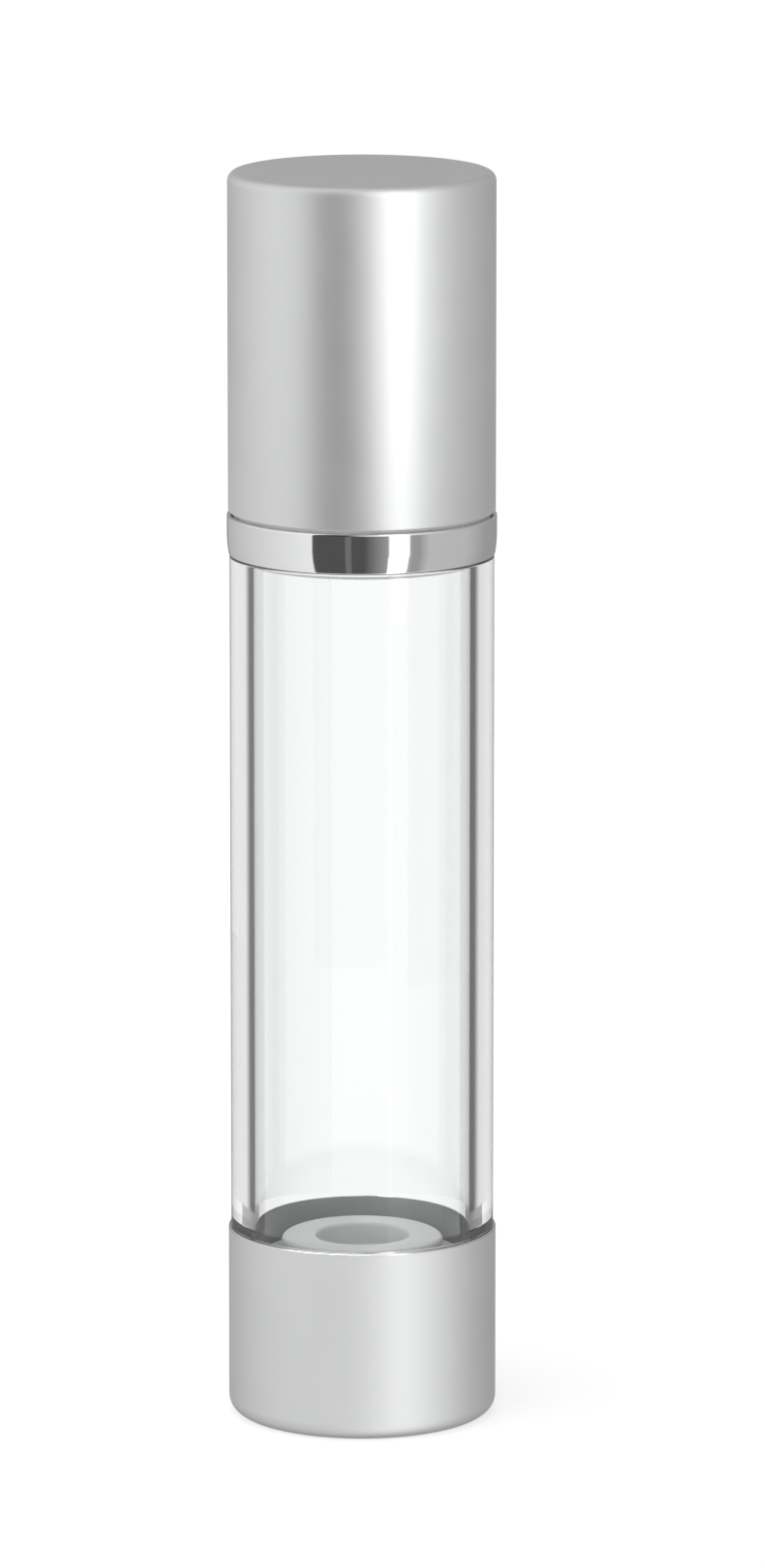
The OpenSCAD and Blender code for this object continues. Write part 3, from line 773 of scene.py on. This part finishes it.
class BOTTLE_OT_plastic_parts(bpy.types.Operator):
    """Finish the plastic and steel parts that keep their meshes."""

    bl_idname = "bottle.plastic_parts"
    bl_label = "Plastic Parts"
    bl_options = {"REGISTER", "UNDO"}

    def execute(self, context):
        for node in (
                "base_insert", "pump_plug", "stem_plunger", "pump_stem", "pump_retainer", "collar_core",
                "cap_liner"):
            coat(node, white_plastic())
        for node in ("pump_housing", "pump_piston"):
            coat(node, milky_plastic())
        coat("neck_gasket", seal_rubber())
        coat("inlet_valve_ball", bright_steel())
        return {"FINISHED"}


def bearing_of(nodes, links, place):
    """Direction round the bottle of a place, 0 towards the camera and the right positive, and its height."""
    split = nodes.new("ShaderNodeSeparateXYZ")
    forward = math_node(nodes, "MULTIPLY", None, -1.0)
    angle = math_node(nodes, "ARCTAN2")
    links.new(place, split.inputs[0])
    links.new(split.outputs["Y"], forward.inputs[0])
    links.new(split.outputs["X"], angle.inputs[0])
    links.new(forward.outputs[0], angle.inputs[1])
    return angle.outputs[0], split.outputs["Z"]


def round_ramp(nodes, links, bearing, glows):
    """Colour ramp over the bearing, which runs from 0 to 1 round the horizon."""
    ramp = nodes.new("ShaderNodeValToRGB")
    stops = ramp.color_ramp.elements
    while len(stops) < len(glows):
        stops.new(0.5)
    for stop, (degrees, glow) in zip(stops, glows):
        stop.position = (degrees + 180) / 360
        stop.color = (glow, glow, glow, 1)
    links.new(bearing, ramp.inputs["Fac"])
    return ramp.outputs["Color"]


def studio_world():
    """Soft light from table, walls and ceiling, white where the camera looks past the floor."""
    world = bpy.data.worlds.new("studio")
    bpy.context.scene.world = world
    world.use_nodes = True
    nodes, links = world.node_tree.nodes, world.node_tree.links
    nodes.clear()
    place = nodes.new("ShaderNodeTexCoord")
    angle, height = bearing_of(nodes, links, place.outputs["Generated"])
    bearing = map_range(nodes, links, angle, -math.pi, math.pi)
    table = round_ramp(nodes, links, bearing, TABLE_GLOW)
    walls = round_ramp(nodes, links, bearing, WALL_GLOW)
    room = blend_colour(nodes, links, map_range(nodes, links, height, *HORIZON), table, walls)
    overhead = map_range(nodes, links, height, *CEILING_EDGE)
    room = blend_colour(nodes, links, overhead, room, CEILING_GREY)
    soft = nodes.new("ShaderNodeBackground")
    links.new(room, soft.inputs["Color"])
    white = nodes.new("ShaderNodeBackground")
    white.inputs["Color"].default_value = (1, 1, 1, 1)
    path = nodes.new("ShaderNodeLightPath")
    choose = nodes.new("ShaderNodeMixShader")
    links.new(path.outputs["Is Camera Ray"], choose.inputs["Fac"])
    links.new(soft.outputs[0], choose.inputs[1])
    links.new(white.outputs[0], choose.inputs[2])
    leave = nodes.new("ShaderNodeOutputWorld")
    links.new(choose.outputs[0], leave.inputs["Surface"])


def glow_material(name, start, end, left, right, below=False):
    """Light of a panel, from its start to its end in degrees. With below, it shows only from below."""
    material = bpy.data.materials.new(name)
    material.use_nodes = True
    nodes, links = material.node_tree.nodes, material.node_tree.links
    nodes.clear()
    place = nodes.new("ShaderNodeTexCoord")
    angle, _ = bearing_of(nodes, links, place.outputs["Object"])
    light = nodes.new("ShaderNodeEmission")
    glow = map_range(nodes, links, angle, math.radians(start), math.radians(end), left, right)
    links.new(glow, light.inputs["Strength"])
    leave = nodes.new("ShaderNodeOutputMaterial")
    links.new(light.outputs[0], leave.inputs["Surface"])
    if below:
        side = nodes.new("ShaderNodeNewGeometry")
        upward = nodes.new("ShaderNodeSeparateXYZ")
        above = math_node(nodes, "GREATER_THAN", None, 0.0)
        clear = nodes.new("ShaderNodeBsdfTransparent")
        choose = nodes.new("ShaderNodeMixShader")
        links.new(side.outputs["Normal"], upward.inputs[0])
        links.new(upward.outputs["Z"], above.inputs[0])
        links.new(above.outputs[0], choose.inputs["Fac"])
        links.new(light.outputs[0], choose.inputs[1])
        links.new(clear.outputs[0], choose.inputs[2])
        links.new(choose.outputs[0], leave.inputs["Surface"])
    return material


def curved_panel(name, start, end, left, right, foot=PANEL_FOOT, head=None, away=None,
                 through=False, lying=False):
    """A panel round the bottle that shows only in reflections, or only through the clear body."""
    studio = settings()[2]
    head = head or studio.panel_height
    away = away or studio.panel_distance
    start_clean()
    bpy.ops.mesh.primitive_plane_add(size=MM, location=(0, 0, 0))
    panel = bpy.context.object
    panel.name = panel.data.name = name
    bpy.ops.object.mode_set(mode="EDIT")
    bpy.ops.mesh.select_mode(type="VERT")
    bpy.ops.mesh.select_all(action="SELECT")
    bpy.ops.mesh.merge(type="CENTER")
    out = Vector((math.sin(math.radians(start)), -math.cos(math.radians(start)), 0))
    sweep = out * (LYING_PANEL_INSIDE - away) if lying else Vector((0, 0, head - foot))
    bpy.ops.transform.translate(value=out * away + Vector((0, 0, foot)))
    bpy.ops.mesh.extrude_region_move(TRANSFORM_OT_translate={"value": sweep})
    bpy.ops.mesh.select_all(action="SELECT")
    steps = max(2, round((end - start) / PANEL_STEP))
    bpy.ops.mesh.spin(steps=steps, angle=math.radians(start - end), center=(0, 0, 0), axis=(0, 0, 1))
    bpy.ops.object.mode_set(mode="OBJECT")
    panel.data.materials.append(glow_material(name, start, end, left, right, below=lying and not through))
    panel.visible_camera = False
    panel.visible_diffuse = False
    panel.visible_glossy = not through
    panel.visible_transmission = through
    panel.visible_shadow = False


def studio_floor():
    """Pale floor that the camera and the clear body see."""
    start_clean()
    bpy.ops.mesh.primitive_plane_add(size=FLOOR_SIZE, location=(0, 0, 0))
    floor = bpy.context.object
    floor.name = floor.data.name = "floor"
    floor.data.materials.append(finish(
        "pale floor", (0.8, 0.8, 0.8), 0.8, grain=4 * MM, depth=1e-6, spread=0.02, shade=0.004, mottle=0.4,
        Emission_Color=(1, 1, 1, 1), Emission_Strength=settings()[2].floor_glow))
    floor.visible_glossy = False


def overhead_lamp():
    """Large soft lamp above the bottle and the floor behind it."""
    data = bpy.data.lights.new("overhead_softbox", "AREA")
    data.shape = "RECTANGLE"
    data.size, data.size_y = OVERHEAD_SIZE
    data.energy = settings()[2].overhead
    lamp = bpy.data.objects.new("overhead_softbox", data)
    lamp.location = OVERHEAD_PLACE
    lamp.visible_glossy = False
    lamp.visible_camera = False
    bpy.context.scene.collection.objects.link(lamp)


def studio_camera():
    """Camera at the photograph's angle."""
    studio = settings()[2]
    data = bpy.data.cameras.new("camera")
    data.sensor_fit = "AUTO"
    data.sensor_width = SENSOR_WIDTH
    data.lens = studio.lens
    data.clip_start, data.clip_end = CAMERA_CLIP
    camera = bpy.data.objects.new("camera", data)
    aim = Vector((studio.aim_side, 0, studio.aim_height))
    back = Vector((0, -math.cos(studio.elevation), math.sin(studio.elevation)))
    camera.location = Vector((0, 0, studio.aim_height)) + back * studio.distance
    camera.rotation_mode = "QUATERNION"
    camera.rotation_quaternion = (aim - camera.location).to_track_quat("-Z", "Y")
    bpy.context.scene.collection.objects.link(camera)
    bpy.context.scene.camera = camera


class BOTTLE_OT_studio(bpy.types.Operator):
    """Set up the floor, the light and the camera."""

    bl_idname = "bottle.studio"
    bl_label = "Studio"
    bl_options = {"REGISTER", "UNDO"}

    def execute(self, context):
        studio = settings()[2]
        dark, shade = studio.card_glow, studio.upper_glow
        lamp, low_lamp = studio.strip_glow, studio.low_strip_glow
        cards = {"foot": studio.card_foot, "head": studio.card_top}
        above_cards = {"foot": studio.card_top}
        strips = {"foot": studio.strip_foot}
        low_strips = {"head": studio.strip_foot}
        low_cards = {"head": LOW_CARD_TOP}
        rim_lamps = {"foot": 0.06, "away": 0.05, "lying": True}
        flags = {"through": True}
        mats = {"foot": 0.2 * MM, "through": True, "lying": True}
        boards = {"foot": 0.05, "head": 0.5, "away": 0.6, "through": True}
        # Each panel's start and end in degrees round the bottle, with its light at either.
        panels = (
            ("upper_left", -100, -39, 0.74, 1.0, above_cards),
            ("upper_card", -39, -11, shade, shade, above_cards),
            ("upper_fade", -11, 21, 3 * shade, 1.1, above_cards),
            ("dark_card_left", -40, -13.2, dark, dark, cards),
            ("card_joint", -13.2, -8.5, 2 * dark, 2 * dark, cards),
            ("dark_card_right", -8.5, 2, dark, dark, cards),
            ("fading_card", 2, 21, dark, 4 * dark, cards),
            ("strip_lamp_left", 21, 27, 5 * dark, lamp, strips),
            ("strip_lamp", 27, 31, lamp, lamp, strips),
            ("strip_lamp_right", 31, 38.6, lamp, 1.0, strips),
            ("low_strip", 21, 37.8, low_lamp, low_lamp, low_strips),
            ("upper_right", 38.6, 80, 0.95, 0.5, above_cards),
            ("collar_card", -155, -40, 0.45, 0.88, cards),
            ("slim_card", 40.3, 48.5, 4 * dark, 4 * dark, cards),
            ("low_card", 37.8, 65, 1.1, 0.85, low_cards),
            ("low_card_side", 65, 90, 0.85, 0.5, low_cards),
            ("rim_lamp_left", -75, -10, 3.0, 4.0, rim_lamps),
            ("rim_lamp_right", -10, 50, 4.0, 1.0, rim_lamps),
            ("left_haze_back", -176, -163, 1.02, 0.92, flags),
            ("left_haze", -163, -136, 0.92, 0.83, flags),
            ("left_flag_back", -136, -127, 0.85, 0.12, flags),
            ("left_flag", -127, -104, 0.12, 0.12, flags),
            ("right_flag", 104, 128, 0.1, 0.1, flags),
            ("right_flag_back", 128, 137, 0.1, 0.75, flags),
            ("right_haze", 137, 163, 0.75, 0.98, flags),
            ("right_haze_back", 163, 176, 0.98, 1.02, flags),
            ("left_mat", -145, -104, 0.5, 0.15, mats),
            ("right_mat", 104, 145, 0.1, 0.4, mats),
            ("back_board_left", -180, -150, 1.05, 1.05, boards),
            ("back_lamp", 175, 178.5, 4.0, 4.0, boards),
            ("back_board_right", 150, 175, 1.05, 1.05, boards),
        )
        studio_world()
        studio_floor()
        for *panel, place in panels:
            curved_panel(*panel, **place)
        overhead_lamp()
        studio_camera()
        view = context.scene.view_settings
        view.view_transform = "Standard"
        view.look = "None"
        view.exposure = 0
        view.gamma = 1
        return {"FINISHED"}


class BOTTLE_PT_panel(bpy.types.Panel):
    """Buttons for the pieces and the studio, and their settings."""

    bl_label = "Airless Pump Bottle"
    bl_idname = "BOTTLE_PT_panel"
    bl_space_type = "VIEW_3D"
    bl_region_type = "UI"
    bl_category = "Bottle"

    def draw(self, context):
        layout = self.layout
        for operator in STEPS:
            layout.operator(operator.bl_idname)
        for heading, group in zip(("Sizes", "Finish", "Studio"), settings()):
            box = layout.box()
            box.label(text=heading)
            for name in group.__annotations__:
                box.prop(group, name)


STEPS = (
    BOTTLE_OT_cap_sleeve,
    BOTTLE_OT_collar_ring,
    BOTTLE_OT_base_cup,
    BOTTLE_OT_clear_body,
    BOTTLE_OT_follower,
    BOTTLE_OT_return_spring,
    BOTTLE_OT_pump_head,
    BOTTLE_OT_plastic_parts,
    BOTTLE_OT_studio,
)
GROUPS = {"bottle_sizes": BottleSizes, "bottle_finish": BottleFinish, "bottle_studio": BottleStudio}


def register():
    """Registers the classes and the settings."""
    for group in (*GROUPS.values(), *STEPS, BOTTLE_PT_panel):
        bpy.utils.register_class(group)
    for name, group in GROUPS.items():
        setattr(bpy.types.Scene, name, PointerProperty(type=group))


def unregister():
    """Takes the classes and the settings out again."""
    for name in GROUPS:
        delattr(bpy.types.Scene, name)
    for group in (BOTTLE_PT_panel, *reversed(STEPS), *GROUPS.values()):
        bpy.utils.unregister_class(group)


def main():
    """Builds everything in order."""
    register()
    bpy.ops.bottle.cap_sleeve()
    bpy.ops.bottle.collar_ring()
    bpy.ops.bottle.base_cup()
    bpy.ops.bottle.clear_body()
    bpy.ops.bottle.follower()
    bpy.ops.bottle.return_spring()
    bpy.ops.bottle.pump_head()
    bpy.ops.bottle.plastic_parts()
    bpy.ops.bottle.studio()
    start_clean()


if __name__ == "__main__":
    main()
